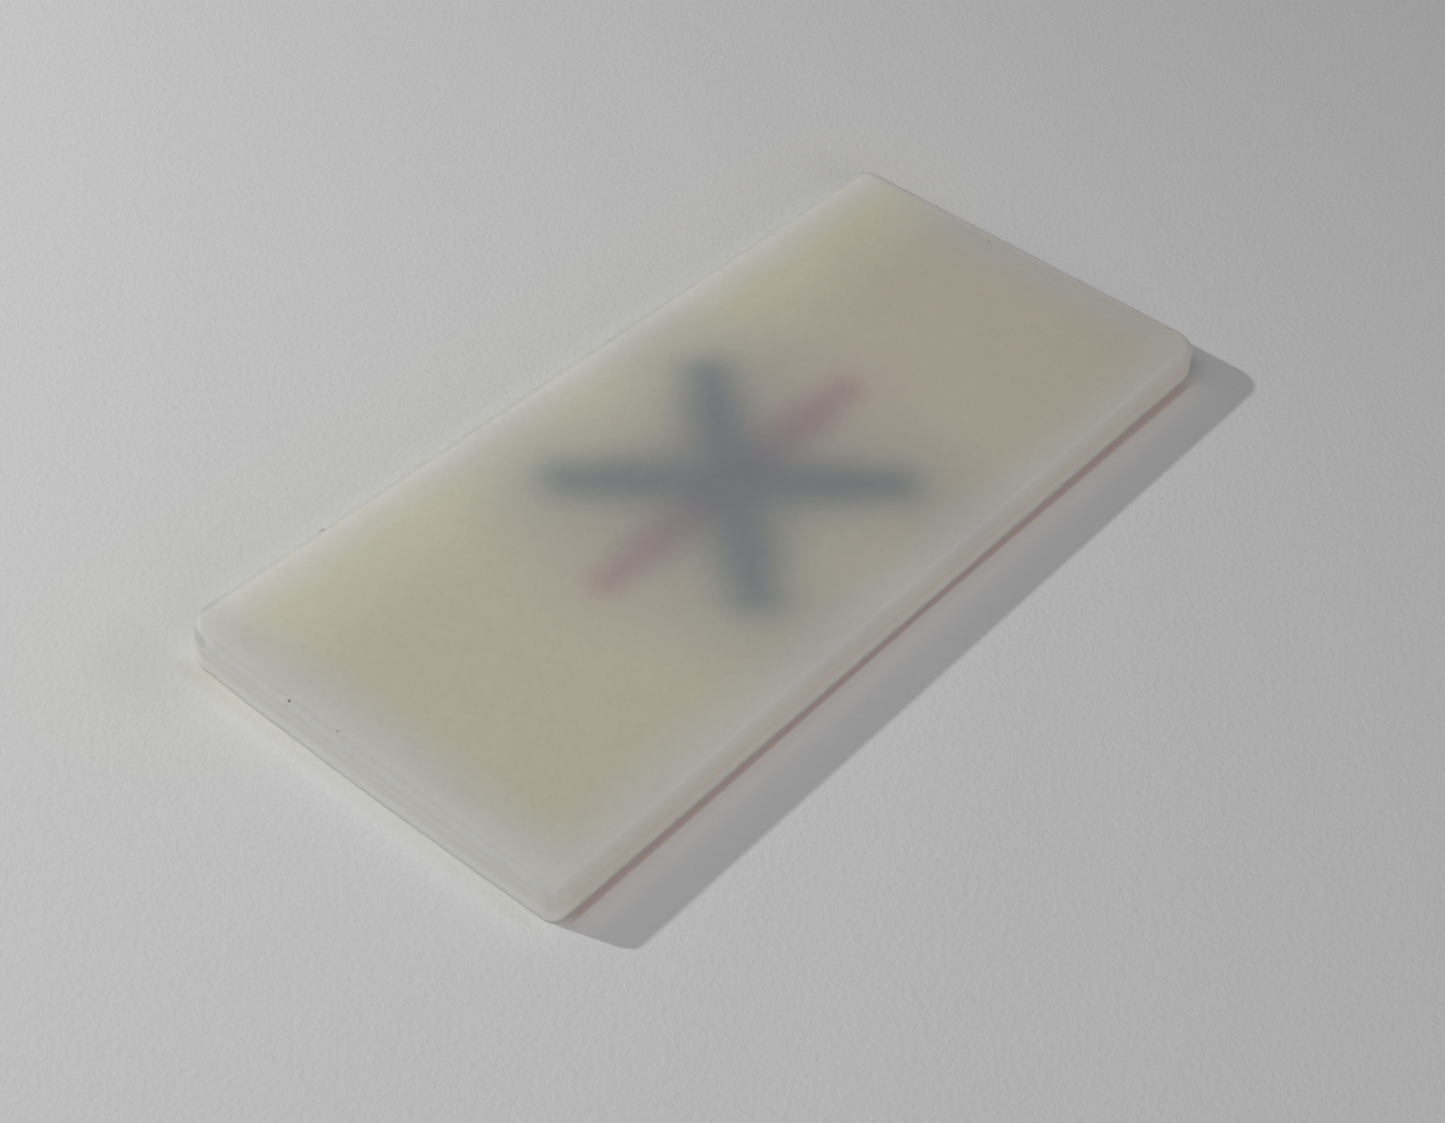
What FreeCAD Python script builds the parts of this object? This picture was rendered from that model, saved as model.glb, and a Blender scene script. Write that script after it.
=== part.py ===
import FreeCAD, Part
import os

# Opal glass slide: a thick milky slab with a blue cross and a red line let into
# its underside as thin coloured fills. All sizes are in millimetres.
# Frame: +X along the slab, +Y across it, +Z up. The origin is the centre of the
# underside, so the slab rests on the plane Z = 0.

# Slab
SLAB_LENGTH = 76.0
SLAB_WIDTH = 33.6
SLAB_THICKNESS = 2.9
TOP_EDGE_RADIUS = 0.5
BOTTOM_EDGE_RADIUS = 0.1

# Radii of the four upright corners, which are ground by hand and differ
RADIUS_LEFT_BACK = 2.8
RADIUS_RIGHT_BACK = 1.4
RADIUS_RIGHT_FRONT = 1.5
RADIUS_LEFT_FRONT = 1.0

# Coloured fills: width of each groove and its depth into the underside.
# The depths differ, so that where the grooves cross each fill lies on the next.
BLUE_WIDTH = 3.6
RED_WIDTH = 2.4
BLUE_FIRST_DEPTH = 0.6
BLUE_SECOND_DEPTH = 0.4
RED_DEPTH = 0.2

# End points of each fill's centre line, on the underside
BLUE_FIRST_ENDS = ((-9.7, 8.3), (7.2, -9.6))
BLUE_SECOND_ENDS = ((-9.5, -9.5), (7.2, 8.6))
RED_ENDS = ((-15.8, -1.0), (13.6, -0.1))

SAME_POINT = 1e-6


def upright_edge(solid, x, y):
    """The solid's edge along Z that stands at one corner of its outline."""
    for edge in solid.Edges:
        box = edge.BoundBox
        at_corner = abs(box.Center.x - x) < SAME_POINT and abs(box.Center.y - y) < SAME_POINT
        if at_corner and box.ZLength > SLAB_THICKNESS / 2:
            return edge
    raise ValueError("no upright edge at %.2f, %.2f" % (x, y))


def edges_at_height(solid, height):
    """The edges that lie wholly in the plane at one height."""
    return [
        edge for edge in solid.Edges
        if abs(edge.BoundBox.ZMin - height) < SAME_POINT
        and abs(edge.BoundBox.ZMax - height) < SAME_POINT
    ]


def slab_blank():
    """The slab before its grooves are cut: a block with all its edges rounded."""
    half_x = SLAB_LENGTH / 2
    half_y = SLAB_WIDTH / 2
    corner = FreeCAD.Vector(-half_x, -half_y, 0)
    blank = Part.makeBox(SLAB_LENGTH, SLAB_WIDTH, SLAB_THICKNESS, corner)
    for x, y, radius in (
        (-half_x, half_y, RADIUS_LEFT_BACK),
        (half_x, half_y, RADIUS_RIGHT_BACK),
        (half_x, -half_y, RADIUS_RIGHT_FRONT),
        (-half_x, -half_y, RADIUS_LEFT_FRONT),
    ):
        blank = blank.makeFillet(radius, [upright_edge(blank, x, y)])
    blank = blank.makeFillet(TOP_EDGE_RADIUS, edges_at_height(blank, SLAB_THICKNESS))
    return blank.makeFillet(BOTTOM_EDGE_RADIUS, edges_at_height(blank, 0.0))


def stroke(ends, width, depth):
    """A straight bar with round ends, from the underside up to its depth."""
    start = FreeCAD.Vector(ends[0][0], ends[0][1], 0)
    end = FreeCAD.Vector(ends[1][0], ends[1][1], 0)
    along = (end - start).normalize() * (width / 2)
    side = FreeCAD.Vector(-along.y, along.x, 0)
    outline = Part.Wire([
        Part.LineSegment(start + side, end + side).toShape(),
        Part.Arc(end + side, end + along, end - side).toShape(),
        Part.LineSegment(end - side, start - side).toShape(),
        Part.Arc(start - side, start - along, start + side).toShape(),
    ])
    return Part.Face(outline).extrude(FreeCAD.Vector(0, 0, depth))


def one_solid(shape):
    """The single solid in a shape."""
    if len(shape.Solids) != 1:
        raise ValueError("expected one solid, found %d" % len(shape.Solids))
    return shape.Solids[0]


def build():
    """Each node's solid, by name."""
    blue_first = stroke(BLUE_FIRST_ENDS, BLUE_WIDTH, BLUE_FIRST_DEPTH)
    blue_second = stroke(BLUE_SECOND_ENDS, BLUE_WIDTH, BLUE_SECOND_DEPTH)
    red = stroke(RED_ENDS, RED_WIDTH, RED_DEPTH)
    slab = slab_blank().cut(blue_first).cut(blue_second).cut(red)
    return {
        "opal_slab": one_solid(slab),
        "blue_stroke_first": one_solid(blue_first.cut(blue_second).cut(red)),
        "blue_stroke_second": one_solid(blue_second.cut(red)),
        "red_stroke": one_solid(red),
    }


os.makedirs("parts", exist_ok=True)
for name, solid in build().items():
    solid.exportStep("parts/" + name + ".step")
    print(name, "valid:", solid.isValid(), "volume: %.2f mm3" % solid.Volume)
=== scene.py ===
import math
import random

import bpy
from mathutils import Matrix, Vector, noise


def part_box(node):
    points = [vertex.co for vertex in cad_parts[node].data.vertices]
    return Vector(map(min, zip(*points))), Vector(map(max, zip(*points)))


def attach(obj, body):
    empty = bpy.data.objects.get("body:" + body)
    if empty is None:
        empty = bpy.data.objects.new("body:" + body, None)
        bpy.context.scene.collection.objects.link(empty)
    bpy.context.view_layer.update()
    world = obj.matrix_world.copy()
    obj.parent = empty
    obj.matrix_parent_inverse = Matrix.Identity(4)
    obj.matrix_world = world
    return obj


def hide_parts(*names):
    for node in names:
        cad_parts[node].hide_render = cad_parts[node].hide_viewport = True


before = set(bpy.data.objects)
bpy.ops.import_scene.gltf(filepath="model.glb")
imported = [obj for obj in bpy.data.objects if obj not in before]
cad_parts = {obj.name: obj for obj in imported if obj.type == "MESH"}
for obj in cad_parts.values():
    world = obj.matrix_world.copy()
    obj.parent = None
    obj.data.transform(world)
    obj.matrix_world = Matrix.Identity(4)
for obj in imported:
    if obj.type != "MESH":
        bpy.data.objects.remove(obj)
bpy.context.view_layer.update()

MM = 0.001
SLAB_LOW, SLAB_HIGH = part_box("opal_slab")
HALF_X = (SLAB_HIGH.x - SLAB_LOW.x) / 2 / MM
HALF_Y = (SLAB_HIGH.y - SLAB_LOW.y) / 2 / MM
THICKNESS = (SLAB_HIGH.z - SLAB_LOW.z) / MM

# Slab edges, in millimetres, as in the CAD model
TOP_EDGE_RADIUS = 0.5
BOTTOM_EDGE_RADIUS = 0.1
CORNERS = (  # x side, y side, radius at the foot, radius at the top, round from the front right
    (1, -1, 1.5, 2.3),
    (1, 1, 1.4, 1.4),
    (-1, 1, 2.8, 2.8),
    (-1, -1, 1.0, 1.0),
)

# Marks of grinding by hand, in millimetres, all of them inwards from the CAD block
LEFT_END_BOW = 0.22
RIGHT_END_BOW = 0.05
FRONT_HOLLOW = 0.01
GROUND_EDGE_REACH = 3.0  # how far from an edge the bow and the hollow fade out
SIDE_WAVE = 0.02
FACE_WAVE = 0.012
FLAKE_COUNT = 110
FLAKE_HALF_LENGTH = (0.5, 2.2)
FLAKE_DEPTH = (0.01, 0.045)
FLAKE_HEIGHT = 0.7

# Coloured strokes: half widths in millimetres, and whether each one rises from left to right
BLUE_HALF_WIDTH = 1.8
RED_HALF_WIDTH = 1.2
STROKES = {
    "blue_stroke_first": (BLUE_HALF_WIDTH, False),
    "blue_stroke_second": (BLUE_HALF_WIDTH, True),
    "red_stroke": (RED_HALF_WIDTH, True),
}

GROOVE_CLEARANCE = 0.01
GROOVE_CUTTER_LOW = -1.0
ROUND_END_STEPS = 16


# ---------------------------------------------------------------- node helpers

class Nodes:
    """A small writer of shader node trees: each method adds a node and returns its output."""

    def __init__(self, name):
        self.material = bpy.data.materials.new(name)
        self.material.use_nodes = True
        self.tree = self.material.node_tree
        self.shader = self.tree.nodes["Principled BSDF"]

    def set(self, socket, value):
        if isinstance(value, bpy.types.NodeSocket):
            self.tree.links.new(value, socket)
        else:
            socket.default_value = value

    def math(self, operation, *values):
        node = self.tree.nodes.new("ShaderNodeMath")
        node.operation = operation
        for socket, value in zip(node.inputs, values):
            self.set(socket, value)
        return node.outputs[0]

    def vector_math(self, operation, *values, output=0):
        node = self.tree.nodes.new("ShaderNodeVectorMath")
        node.operation = operation
        for socket, value in zip(node.inputs, values):
            self.set(socket, value)
        return node.outputs[output]

    def position(self):
        """Object coordinates, in millimetres."""
        node = self.tree.nodes.new("ShaderNodeTexCoord")
        return self.vector_math("MULTIPLY", node.outputs["Object"], (1 / MM,) * 3)

    def split(self, vector):
        node = self.tree.nodes.new("ShaderNodeSeparateXYZ")
        self.set(node.inputs[0], vector)
        return node.outputs

    def fall(self, distance, start, end):
        """1 below start, 0 above end, and smooth between them."""
        node = self.tree.nodes.new("ShaderNodeMapRange")
        node.interpolation_type = "SMOOTHSTEP"
        self.set(node.inputs["Value"], distance)
        self.set(node.inputs["From Min"], start)
        self.set(node.inputs["From Max"], end)
        self.set(node.inputs["To Min"], 1.0)
        self.set(node.inputs["To Max"], 0.0)
        return node.outputs["Result"]

    def noise(self, vector, scale, detail=2.0, roughness=0.5):
        node = self.tree.nodes.new("ShaderNodeTexNoise")
        self.set(node.inputs["Vector"], vector)
        self.set(node.inputs["Scale"], scale)
        self.set(node.inputs["Detail"], detail)
        self.set(node.inputs["Roughness"], roughness)
        return node.outputs["Fac"]

    def mix(self, factor, first, second, blend="MIX"):
        node = self.tree.nodes.new("ShaderNodeMix")
        node.data_type = "RGBA"
        node.blend_type = blend
        self.set(node.inputs["Factor"], factor)
        self.set(node.inputs[6], first)
        self.set(node.inputs[7], second)
        return node.outputs[2]

    def tint(self, colour, factor, tint):
        """The colour multiplied by a tint, as far as the factor says."""
        return self.mix(factor, colour, tint + (1.0,), "MULTIPLY")

    def bump(self, height, distance, strength=1.0):
        node = self.tree.nodes.new("ShaderNodeBump")
        self.set(node.inputs["Strength"], strength)
        self.set(node.inputs["Distance"], distance)
        self.set(node.inputs["Height"], height)
        self.set(self.shader.inputs["Normal"], node.outputs[0])

    def distance_to_segment(self, point, start, end):
        """Distance in plan from the point to a segment, and how far along the segment it is."""
        run = end - start
        flat = self.vector_math("MULTIPLY", point, (1.0, 1.0, 0.0))
        offset = self.vector_math("SUBTRACT", flat, tuple(start))
        along = self.vector_math("DOT_PRODUCT", offset, tuple(run / run.length_squared), output=1)
        share = self.math("MINIMUM", self.math("MAXIMUM", along, 0.0), 1.0)
        scale = self.tree.nodes.new("ShaderNodeVectorMath")
        scale.operation = "SCALE"
        scale.inputs[0].default_value = tuple(run)
        self.set(scale.inputs["Scale"], share)
        return self.vector_math("DISTANCE", offset, scale.outputs[0], output=1), share


# ---------------------------------------------------------------- opal glass
# Lengths in millimetres. Every colour is a base colour, and every tint multiplies one.

INSIDE_LEFT = (0.685, 0.655, 0.51)
INSIDE_RIGHT = (0.69, 0.635, 0.51)
# painted light: the back glow, the rims and the right edge stand for lamp light that the glass carries
# in from its edges, strongest along the back edge, which faces the key lamp
PAINTED_BACK_GLOW = (0.80, 0.785, 0.605)
BACK_RIM = (0.83, 0.845, 0.795)
FRONT_RIM = (0.69, 0.68, 0.615)
LEFT_RIM = (0.705, 0.71, 0.66)
RIGHT_RIM = (0.665, 0.65, 0.59)
RIGHT_EDGE = (0.75, 0.74, 0.69)
# painted light: the front top edge is made paler against the shade it lies in
FRONT_EDGE_LIGHT = (0.733, 0.714, 0.667)
# painted light: the front and left sides, palest low down where the floor shades them
FRONT_SIDE = (0.80, 0.755, 0.665)
FRONT_SIDE_LOW_LIT = (0.95, 0.925, 0.825)
LEFT_SIDE = (0.70, 0.70, 0.66)
LEFT_SIDE_LOW_LIT = (0.885, 0.875, 0.82)
CLOUD_TINT = (0.92, 0.87, 0.80)
PATCH_TINT = (0.985, 0.99, 1.0)
FLECK_TINT = (0.975, 0.97, 0.97)
# painted shade that dims the rounded back and left top edges where they catch the lamps
BACK_EDGE_SHADE = (0.82, 0.833, 0.827)
LEFT_EDGE_SHADE = (0.895, 0.893, 0.905)
SHADED_CORNER = (-36.6, 16.6, THICKNESS)  # the left back corner, where painted shade dims the pale edges
SHADED_CORNER_TINT = (0.88, 0.885, 0.90)
BLUR_CORE = (0.60, 0.665, 0.77)
BLUR_HALO = (0.78, 0.815, 0.895)
RED_CORE = (0.83, 0.745, 0.85)
RED_HALO = (0.93, 0.89, 0.94)
SPECKS = (  # x, y, size and shade of the dirt specks and small chips on the top edges
    (-37.6, 6.3, 0.14, 0.30),
    (-37.3, 2.2, 0.11, 0.50),
    (36.6, 3.0, 0.20, 0.75),
    (-25.1, 16.4, 0.30, 0.75),
)
GLASS_SCATTER_DEPTH = 3.0
GLASS_GRAIN_DEPTH = 0.012
BLUE_MELD = 6.5  # how widely the two blue blurs run into each other where they cross
CORE_REACH = 5.0
HALO_REACH = 12.0
RED_CORE_REACH = 3.5
RED_HALO_REACH = 9.0
RED_UNDER_BLUE = 0.7  # how much of the red a blue core hides
BLUR_SHORTER = 0.7  # how much shorter than its stroke each blur's core is, at both ends
BLUR_TAPER = 0.6  # how much each blur's core narrows at its ends


def stroke_ends(node):
    """The two ends of a coloured stroke's centre line, in millimetres, from its CAD box."""
    half_width, rises = STROKES[node]
    low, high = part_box(node)
    left, right = low.x / MM + half_width, high.x / MM - half_width
    front, back = low.y / MM + half_width, high.y / MM - half_width
    if not rises:
        front, back = back, front
    return Vector((left, front, 0.0)), Vector((right, back, 0.0))


def blur_distance(n, point, node):
    """Distance from the core of the blur that a stroke makes in the glass."""
    start, end = stroke_ends(node)
    inward = (end - start).normalized() * BLUR_SHORTER
    away, share = n.distance_to_segment(point, start + inward, end - inward)
    from_middle = n.math("ABSOLUTE", n.math("SUBTRACT", share, 0.5))
    taper = n.math("SUBTRACT", 1.0, n.fall(from_middle, 0.3, 0.5))
    return n.math("ADD", away, n.math("MULTIPLY", taper, BLUR_TAPER))


def stroke_blurs(n, colour, point, z):
    """Darkens the glass over each stroke; the blurs fade towards the underside."""
    first = blur_distance(n, point, "blue_stroke_first")
    second = blur_distance(n, point, "blue_stroke_second")
    red = blur_distance(n, point, "red_stroke")
    blue = n.math("SMOOTH_MIN", first, second, BLUE_MELD)
    seen = n.fall(n.math("MULTIPLY", z, -1.0), -2.4, -0.6)
    core = n.math("MULTIPLY", n.fall(blue, 0.0, CORE_REACH), seen)
    halo = n.math("MULTIPLY", n.fall(blue, 0.0, HALO_REACH), seen)
    hidden = n.math("MULTIPLY", core, RED_UNDER_BLUE)
    clear = n.math("MULTIPLY", n.math("SUBTRACT", 1.0, hidden), seen)
    red_core = n.math("MULTIPLY", n.fall(red, 0.0, RED_CORE_REACH), clear)
    red_halo = n.math("MULTIPLY", n.fall(red, 0.0, RED_HALO_REACH), clear)
    for factor, tint in (
        (core, BLUR_CORE),
        (halo, BLUR_HALO),
        (red_core, RED_CORE),
        (red_halo, RED_HALO),
    ):
        colour = n.tint(colour, factor, tint)
    return colour


def opal_glass():
    """Milky glass: ivory inside, with paler rims painted in as light that the glass carries in from its
    edges, brightest along the back edge.
    """
    n = Nodes("opal_glass_ground")
    point = n.position()
    x, y, z = n.split(point)
    to_back = n.math("SUBTRACT", HALF_Y, y)
    to_front = n.math("ADD", HALF_Y, y)
    to_left = n.math("ADD", HALF_X, x)
    to_right = n.math("SUBTRACT", HALF_X, x)
    wander = n.math("MULTIPLY", n.math("SUBTRACT", n.noise(point, 0.12), 0.5), 1.6)

    # the top face: ivory, a little greyer to the left, with drifting clouds and fine specks of hue
    across = n.fall(x, -HALF_X, HALF_X)
    colour = n.mix(across, INSIDE_RIGHT + (1.0,), INSIDE_LEFT + (1.0,))
    # painted light: paler rims along every edge, brightest along the back edge, which faces the key
    # lamp
    for edge, start, end, rim in (
        (to_right, 0.5, 7.0, RIGHT_RIM),
        (to_front, 0.4, 5.0, FRONT_RIM),
        (to_back, 1.0, 12.0, PAINTED_BACK_GLOW),
        (to_left, 0.5, 6.0, LEFT_RIM),
        (to_back, 0.2, 4.5, BACK_RIM),
        (to_right, 0.2, 1.2, RIGHT_EDGE),
    ):
        colour = n.mix(n.fall(n.math("ADD", edge, wander), start, end), colour, rim + (1.0,))
    clouds = n.math("MULTIPLY", n.noise(point, 0.35, 4.0, 0.6), 0.12)
    colour = n.tint(colour, clouds, CLOUD_TINT)
    colour = n.tint(colour, n.fall(n.noise(point, 0.9, 3.0, 0.7), 0.42, 0.58), PATCH_TINT)
    colour = n.tint(colour, n.fall(n.noise(point, 2.6, 3.0, 0.7), 0.40, 0.60), FLECK_TINT)

    # the rounded top edges: painted shade dims them where they face the lamps, and painted light makes
    # the front edge paler against the shade it lies in
    rounded = n.fall(z, THICKNESS - 0.12, THICKNESS - 0.02)
    at_top = n.math("SUBTRACT", 1.0, n.fall(z, THICKNESS - 0.8, THICKNESS - 0.5))
    at_corner = n.math("MAXIMUM", at_top, n.fall(to_left, 2.5, 3.0))
    corner_shade_mask = n.math("MULTIPLY", n.math("MULTIPLY", rounded, n.fall(to_back, 2.5, 3.0)), at_corner)
    back_shade_mask = n.math("MAXIMUM", n.fall(to_back, 0.42, 0.88), corner_shade_mask)
    colour = n.tint(colour, back_shade_mask, BACK_EDGE_SHADE)
    colour = n.tint(colour, n.fall(to_left, 0.3, 1.0), LEFT_EDGE_SHADE)
    colour = n.mix(n.fall(to_front, 0.3, 1.0), colour, FRONT_EDGE_LIGHT + (1.0,))

    # the upright sides: painted light, paler than the top's edges for light that the glass carries
    # through, and palest low down against the shade near the floor
    below_top = n.fall(z, THICKNESS - 0.9, THICKNESS - 0.25)
    low = n.fall(z, 0.4, 1.7)
    front_side = n.math("MULTIPLY", n.fall(to_front, 0.6, 1.2), below_top)
    left_side = n.math("MULTIPLY", n.fall(to_left, 0.6, 1.2), below_top)
    colour = n.mix(front_side, colour, n.mix(low, FRONT_SIDE + (1.0,), FRONT_SIDE_LOW_LIT + (1.0,)))
    colour = n.mix(left_side, colour, n.mix(low, LEFT_SIDE + (1.0,), LEFT_SIDE_LOW_LIT + (1.0,)))

    # painted shade at the left back corner
    from_corner = n.vector_math("DISTANCE", point, SHADED_CORNER, output=1)
    colour = n.tint(colour, n.fall(from_corner, 1.0, 3.2), SHADED_CORNER_TINT)

    colour = stroke_blurs(n, colour, point, z)
    for x_spot, y_spot, size, shade in SPECKS:
        away = n.vector_math("DISTANCE", point, (x_spot, y_spot, THICKNESS), output=1)
        colour = n.tint(colour, n.fall(away, size * 0.5, size), (shade, shade, shade * 0.95))
    n.set(n.shader.inputs["Base Color"], colour)

    n.shader.inputs["Subsurface Weight"].default_value = 1.0
    n.shader.inputs["Subsurface Radius"].default_value = (1.0, 0.8, 0.6)
    n.shader.inputs["Subsurface Scale"].default_value = GLASS_SCATTER_DEPTH * MM
    n.shader.subsurface_method = "BURLEY"
    n.shader.inputs["IOR"].default_value = 1.5
    n.shader.inputs["Specular IOR Level"].default_value = 0.25
    grain = n.noise(point, 9.0, 4.0, 0.6)
    smears = n.noise(point, 0.5, 3.0, 0.6)
    n.set(n.shader.inputs["Roughness"], n.math("ADD", 0.56, n.math("MULTIPLY", smears, 0.16)))
    n.bump(grain, GLASS_GRAIN_DEPTH * MM, 0.6)
    return n.material


# ---------------------------------------------------------------- other materials

ENAMEL_GRAIN_DEPTH = 0.02
BLUE, BLUE_DARK = (0.012, 0.055, 0.17, 1.0), (0.006, 0.022, 0.075, 1.0)
RED, RED_DARK = (0.47, 0.025, 0.06, 1.0), (0.26, 0.012, 0.03, 1.0)


def enamel(name, colour, dark):
    """A matte coloured fill, patchy, with fine grain."""
    n = Nodes(name)
    point = n.position()
    patches = n.noise(point, 0.9, 4.0, 0.65)
    grain = n.noise(point, 14.0, 3.0, 0.6)
    n.set(n.shader.inputs["Base Color"], n.mix(n.fall(patches, 0.35, 0.65), colour, dark))
    n.set(n.shader.inputs["Roughness"], n.math("ADD", 0.45, n.math("MULTIPLY", patches, 0.25)))
    n.bump(grain, ENAMEL_GRAIN_DEPTH * MM, 0.5)
    return n.material


# The paper's colours, and lengths in millimetres
PAPER_DARK = (0.83, 0.83, 0.83, 1.0)
PAPER_PALE = (0.86, 0.86, 0.86, 1.0)
# painted light that the glass throws beside its front edge
WARM_GLOW = (0.93, 0.895, 0.885, 1.0)
AMBER_SHADOW_TINT = (0.81, 0.70, 0.665)  # painted shadow: the fine amber contact line along the foot of the front edge
IVORY_LIGHT_TINT = (1.0, 1.0, 0.955)  # painted light: warm light from the glass on the paper behind the back edge
# painted shade beside the left end
LEFT_END_SHADE = (0.89, 0.893, 0.85)
CORNER_SHADE_TINT = (0.935, 0.935, 0.94)  # painted shade beside the left back corner
TOOTH_DEPTH = 0.078
AMBER_SHADOW_WIDTH = 0.26
AMBER_SHADOW_WIDER_LEFT = -0.003  # how fast the painted amber shadow widens towards each end
AMBER_SHADOW_WIDER_RIGHT = 0.007
AMBER_SHADOW_CENTRE = 0.65  # where the line's middle lies, as a share of its width from the edge


def paper():
    """The pale floor: matte, with a faint tooth, and painted light and shade that the glass throws
    beside it.
    """
    n = Nodes("paper")
    point = n.position()
    x, y, _ = n.split(point)
    tooth = n.noise(point, 2.2, 5.0, 0.65)
    mottle = n.noise(point, 0.7, 3.0, 0.6)
    colour = n.mix(mottle, PAPER_DARK, PAPER_PALE)

    # painted light and shade that the glass throws on the paper: warm light behind its back edge and
    # beside its front edge, a painted shadow at its front foot, and painted shade beside its left end
    # and left back corner
    before_front = n.math("SUBTRACT", n.math("MULTIPLY", y, -1.0), HALF_Y)
    before_left = n.math("SUBTRACT", n.math("MULTIPLY", x, -1.0), HALF_X)
    in_right = n.fall(x, HALF_X - 3.0, HALF_X - 0.5)
    in_length = n.math("MULTIPLY", in_right, n.fall(before_left, -2.5, -0.5))
    in_width = n.fall(n.math("ABSOLUTE", y), HALF_Y - 2.0, HALF_Y)
    beside_front = n.math("ABSOLUTE", before_front)
    beside_left = n.math("ABSOLUTE", before_left)
    back_left, back_right = Vector((-HALF_X, HALF_Y, 0.0)), Vector((HALF_X, HALF_Y, 0.0))
    beside_back, _ = n.distance_to_segment(point, back_left, back_right)
    # painted light behind the back edge
    colour = n.tint(colour, n.fall(beside_back, 2.0, 16.0), IVORY_LIGHT_TINT)
    glow = n.math("MULTIPLY", n.fall(beside_front, 0.8, 2.6), in_length)
    colour = n.mix(glow, colour, WARM_GLOW)
    # painted shadow: the amber contact line along the front edge's foot
    wider_left = n.math("MULTIPLY", x, AMBER_SHADOW_WIDER_LEFT)
    wider_right = n.math("MULTIPLY", x, AMBER_SHADOW_WIDER_RIGHT)
    spread = n.math("ADD", AMBER_SHADOW_WIDTH, n.math("MAXIMUM", wider_left, wider_right))
    centre = n.math("MULTIPLY", spread, AMBER_SHADOW_CENTRE)
    line = n.math("DIVIDE", n.math("ABSOLUTE", n.math("SUBTRACT", before_front, centre)), spread)
    colour = n.tint(colour, n.math("MULTIPLY", n.fall(line, 0.3, 1.1), in_length), AMBER_SHADOW_TINT)
    # painted shade: a thin warm contact shadow beside the left end
    beside_end = n.math("MULTIPLY", n.fall(beside_left, 0.3, 1.5), in_width)
    colour = n.tint(colour, beside_end, LEFT_END_SHADE)
    # painted shade beside the left back corner
    from_corner = n.vector_math("DISTANCE", point, (-HALF_X - 0.5, HALF_Y, 0.0), output=1)
    colour = n.tint(colour, n.fall(from_corner, 1.0, 7.0), CORNER_SHADE_TINT)
    n.set(n.shader.inputs["Base Color"], colour)
    n.shader.inputs["Roughness"].default_value = 0.9
    n.shader.inputs["Specular IOR Level"].default_value = 0.2
    n.bump(tooth, TOOTH_DEPTH * MM, 0.8)
    return n.material


# ---------------------------------------------------------------- slab

def outline(inset, height):
    """Points round the slab at one height, drawn in by an inset, with each one's outward normal."""
    step = 0.5
    points = []
    share = height / THICKNESS
    radii = [max(foot + (top - foot) * share - inset, 0.05) for _, _, foot, top in CORNERS]
    for index, (sx, sy, _, _) in enumerate(CORNERS):
        r = radii[index]
        cx = sx * (HALF_X - inset - r)
        cy = sy * (HALF_Y - inset - r)
        start = math.radians(-90 + 90 * index)
        turns = 12
        for k in range(turns + 1):
            a = start + math.radians(90) * k / turns
            points.append((cx + r * math.cos(a), cy + r * math.sin(a), math.cos(a), math.sin(a)))
        # straight run to the next corner, with the same number of points at every inset
        nx, ny, _, _ = CORNERS[(index + 1) % 4]
        rn = radii[(index + 1) % 4]
        a = start + math.radians(90)
        x1, y1 = cx + r * math.cos(a), cy + r * math.sin(a)
        x2 = nx * (HALF_X - inset - rn) + rn * math.cos(a)
        y2 = ny * (HALF_Y - inset - rn) + rn * math.sin(a)
        count = int((2 * HALF_Y if index % 2 == 0 else 2 * HALF_X) / step)
        for k in range(1, count):
            t = k / count
            points.append((x1 + (x2 - x1) * t, y1 + (y2 - y1) * t, math.cos(a), math.sin(a)))
    return points


def profile():
    """(inset, height) of each ring, from the underside round the edge to the top face."""
    rings = [(4.0, 0.0), (1.2, 0.0)]
    for k in range(6):
        a = math.radians(-90 + 90 * k / 5)
        r = BOTTOM_EDGE_RADIUS
        rings.append((r - r * math.cos(a), r + r * math.sin(a)))
    side_top = THICKNESS - TOP_EDGE_RADIUS
    for share in (0.03, 0.25, 0.5, 0.75, 0.97):
        rings.append((0.0, BOTTOM_EDGE_RADIUS + (side_top - BOTTOM_EDGE_RADIUS) * share))
    for k in range(11):
        a = math.radians(90 * k / 10)
        r = TOP_EDGE_RADIUS
        rings.append((r - r * math.cos(a), side_top + r * math.sin(a)))
    rings += [(TOP_EDGE_RADIUS + 0.06, THICKNESS), (1.2, THICKNESS), (3.0, THICKNESS), (6.0, THICKNESS)]
    return rings


def hand_ground(px, py):
    """How far the hand-ground outline lies inside the true rectangle, in millimetres."""
    bow = LEFT_END_BOW if px < 0 else RIGHT_END_BOW
    bowed_end = bow * (py / HALF_Y) ** 2
    hollow_front = FRONT_HOLLOW * (1 - (px / HALF_X) ** 2) if py < 0 else 0.0
    near_end = max(0.0, 1 - (HALF_X - abs(px)) / GROUND_EDGE_REACH)
    near_side = max(0.0, 1 - (HALF_Y - abs(py)) / GROUND_EDGE_REACH)
    return bowed_end * near_end, hollow_front * near_side


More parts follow.
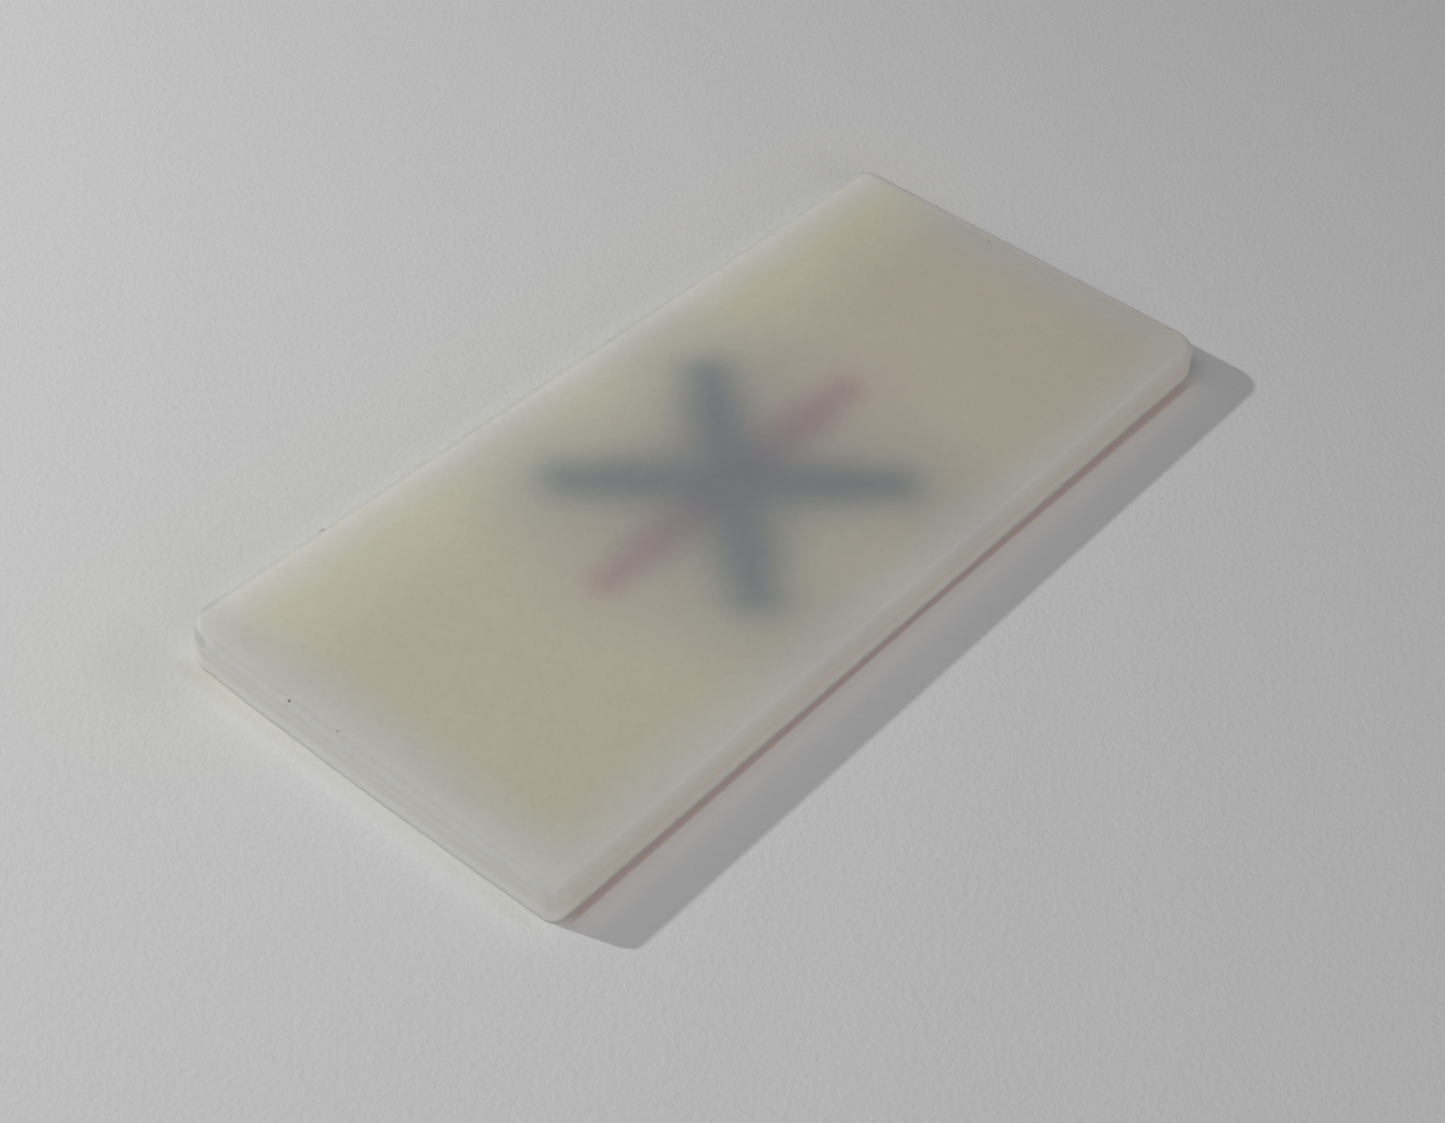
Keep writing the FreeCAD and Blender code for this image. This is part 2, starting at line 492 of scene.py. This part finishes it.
def ground_slab():
    """The slab with its hand-ground edges, small flakes and a faint waviness, within the CAD block."""
    chance = random.Random(11)
    base = outline(0.0, 0.0)
    lengths = [0.0]
    for a, b in zip(base, base[1:] + base[:1]):
        lengths.append(lengths[-1] + math.dist(a[:2], b[:2]))
    total = lengths[-1]
    flakes = []
    for _ in range(FLAKE_COUNT):
        place = chance.uniform(0, total)
        half = chance.uniform(*FLAKE_HALF_LENGTH)
        flakes.append((place, half, chance.uniform(*FLAKE_DEPTH)))

    def flake_depth(along, height):
        """How far a flake along the lower edge cuts in, in millimetres."""
        reach = max(0.0, 1 - height / FLAKE_HEIGHT)
        depth = 0.0
        for place, half, deep in flakes:
            gap = abs(along - place)
            gap = min(gap, total - gap)
            if gap < half:
                depth = max(depth, deep * math.sqrt(1 - (gap / half) ** 2))
        return depth * reach

    vertices = []
    rings = profile()
    for inset, height in rings:
        for index, (px, py, nx, ny) in enumerate(outline(inset, height)):
            wave = 0.5 + 0.5 * noise.noise(Vector((px * 0.25, py * 0.25, height * 0.3)))
            fade = max(0.0, 1 - inset / GROUND_EDGE_REACH)
            inward = fade * (SIDE_WAVE * wave + flake_depth(lengths[index], height))
            end, side = hand_ground(px, py)
            flat = FACE_WAVE * (0.5 + 0.5 * noise.noise(Vector((px * 0.2, py * 0.2, 7.0))))
            lower = flat if height > THICKNESS / 2 else 0.0
            vx = px - nx * inward - math.copysign(end, px)
            vy = py - ny * inward - math.copysign(side, py)
            vertices.append((vx * MM, vy * MM, (height - lower) * MM))
    around = len(base)
    faces = []
    for r in range(len(rings) - 1):
        for k in range(around):
            k2 = (k + 1) % around
            faces.append((r * around + k, r * around + k2, (r + 1) * around + k2, (r + 1) * around + k))
    faces.append(tuple(reversed(range(around))))
    last = (len(rings) - 1) * around
    faces.append(tuple(range(last, last + around)))
    mesh = bpy.data.meshes.new("opal_slab_ground")
    mesh.from_pydata(vertices, [], faces)
    mesh.validate()
    return with_grooves(mesh)


def groove_cutter(node):
    """A bar with round ends, a hair larger than a stroke, that reaches below the slab."""
    start, end = stroke_ends(node)
    half_width = STROKES[node][0] + GROOVE_CLEARANCE
    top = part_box(node)[1].z / MM + GROOVE_CLEARANCE
    along = (end - start).normalized()
    heading = math.atan2(along.y, along.x)
    ring = []
    for centre, turn in ((end, heading - math.pi / 2), (start, heading + math.pi / 2)):
        for k in range(ROUND_END_STEPS + 1):
            a = turn + math.pi * k / ROUND_END_STEPS
            ring.append((centre.x + half_width * math.cos(a), centre.y + half_width * math.sin(a)))
    count = len(ring)
    vertices = [(x * MM, y * MM, z * MM) for z in (GROOVE_CUTTER_LOW, top) for x, y in ring]
    faces = [tuple(reversed(range(count))), tuple(range(count, 2 * count))]
    for k in range(count):
        k2 = (k + 1) % count
        faces.append((k, k2, count + k2, count + k))
    mesh = bpy.data.meshes.new("groove_cutter")
    mesh.from_pydata(vertices, [], faces)
    cutter = bpy.data.objects.new("groove_cutter", mesh)
    bpy.context.scene.collection.objects.link(cutter)
    return cutter


def with_grooves(blank):
    """The slab object made from the blank mesh, with a groove cut for each coloured stroke."""
    work = bpy.data.objects.new("blank", blank)
    bpy.context.scene.collection.objects.link(work)
    cutters = [groove_cutter(node) for node in STROKES]
    for cutter in cutters:
        cut = work.modifiers.new("groove", "BOOLEAN")
        cut.operation = "DIFFERENCE"
        cut.solver = "EXACT"
        cut.object = cutter
    mesh = bpy.data.meshes.new_from_object(work.evaluated_get(bpy.context.evaluated_depsgraph_get()))
    mesh.name = "opal_slab_ground"
    mesh.shade_smooth()
    mesh.set_sharp_from_angle(angle=math.radians(40))
    for spare in cutters + [work]:
        bpy.data.objects.remove(spare)
    slab = bpy.data.objects.new("opal_slab_ground", mesh)
    bpy.context.scene.collection.objects.link(slab)
    return slab


# ---------------------------------------------------------------- stage, lights, camera

def floor():
    half = 1.2  # metres
    count = 24
    below_slab = 0.01  # millimetres
    vertices = []
    for j in range(count + 1):
        for i in range(count + 1):
            vertices.append((half * (2 * i / count - 1), half * (2 * j / count - 1), -below_slab * MM))
    faces = []
    for j in range(count):
        for i in range(count):
            a = j * (count + 1) + i
            faces.append((a, a + 1, a + count + 2, a + count + 1))
    mesh = bpy.data.meshes.new("paper_floor")
    mesh.from_pydata(vertices, [], faces)
    mesh.materials.append(paper())
    sheet = bpy.data.objects.new("paper_floor", mesh)
    bpy.context.scene.collection.objects.link(sheet)


def lamp(name, toward, distance, size, brightness):
    """A soft white disc lamp that looks at the slab; brightness is what it adds to the floor."""
    toward = Vector(toward).normalized()
    albedo = 0.8
    data = bpy.data.lights.new(name, "AREA")
    data.shape = "DISK"
    data.size = size
    data.energy = brightness * math.pi ** 2 * distance ** 2 / (albedo * toward.z)
    lamp_object = bpy.data.objects.new(name, data)
    lamp_object.location = toward * distance
    lamp_object.rotation_euler = toward.to_track_quat("Z", "Y").to_euler()
    lamp_object.visible_camera = False
    bpy.context.scene.collection.objects.link(lamp_object)


def lights():
    lamp("key", (-0.395, 0.79, 0.477), 0.40, 0.014, 0.165)
    lamp("overhead", (-0.36, 0.14, 0.92), 0.205, 0.16, 0.128)
    lamp("front", (-0.40, -0.86, 0.28), 0.70, 0.45, 0.04)
    world = bpy.data.worlds.new("studio")
    world.use_nodes = True
    background = world.node_tree.nodes["Background"]
    background.inputs["Color"].default_value = (1.0, 0.975, 1.015, 1.0)
    background.inputs["Strength"].default_value = 0.17
    bpy.context.scene.world = world


def camera():
    """The view of the slab from its front left, a little rolled."""
    aim = Vector((-6.915, -4.538, 1.45)) * MM
    distance = 165.29 * MM
    forward = Vector((0.59737, 0.41547, -0.68596)).normalized()
    roll = math.radians(6.588)
    data = bpy.data.cameras.new("camera")
    data.sensor_fit = "HORIZONTAL"
    data.sensor_width = 36.0
    data.lens = 58.83
    data.clip_start = 0.005
    eye = bpy.data.objects.new("camera", data)
    turn = forward.to_track_quat("-Z", "Y").to_matrix().to_4x4() @ Matrix.Rotation(roll, 4, "Z")
    eye.matrix_world = Matrix.Translation(aim - forward * distance) @ turn
    bpy.context.scene.collection.objects.link(eye)
    bpy.context.scene.camera = eye


def dress():
    """Puts the slab's mesh and every material in place."""
    slab = ground_slab()
    slab.data.materials.append(opal_glass())
    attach(slab, "root")
    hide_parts("opal_slab")
    blue = enamel("blue_enamel", BLUE, BLUE_DARK)
    red = enamel("red_enamel", RED, RED_DARK)
    for node, material in (
        ("blue_stroke_first", blue),
        ("blue_stroke_second", blue),
        ("red_stroke", red),
    ):
        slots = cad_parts[node].material_slots
        for place in slots:
            place.material = material


bpy.context.scene.view_settings.view_transform = "Standard"
dress()
floor()
lights()
camera()
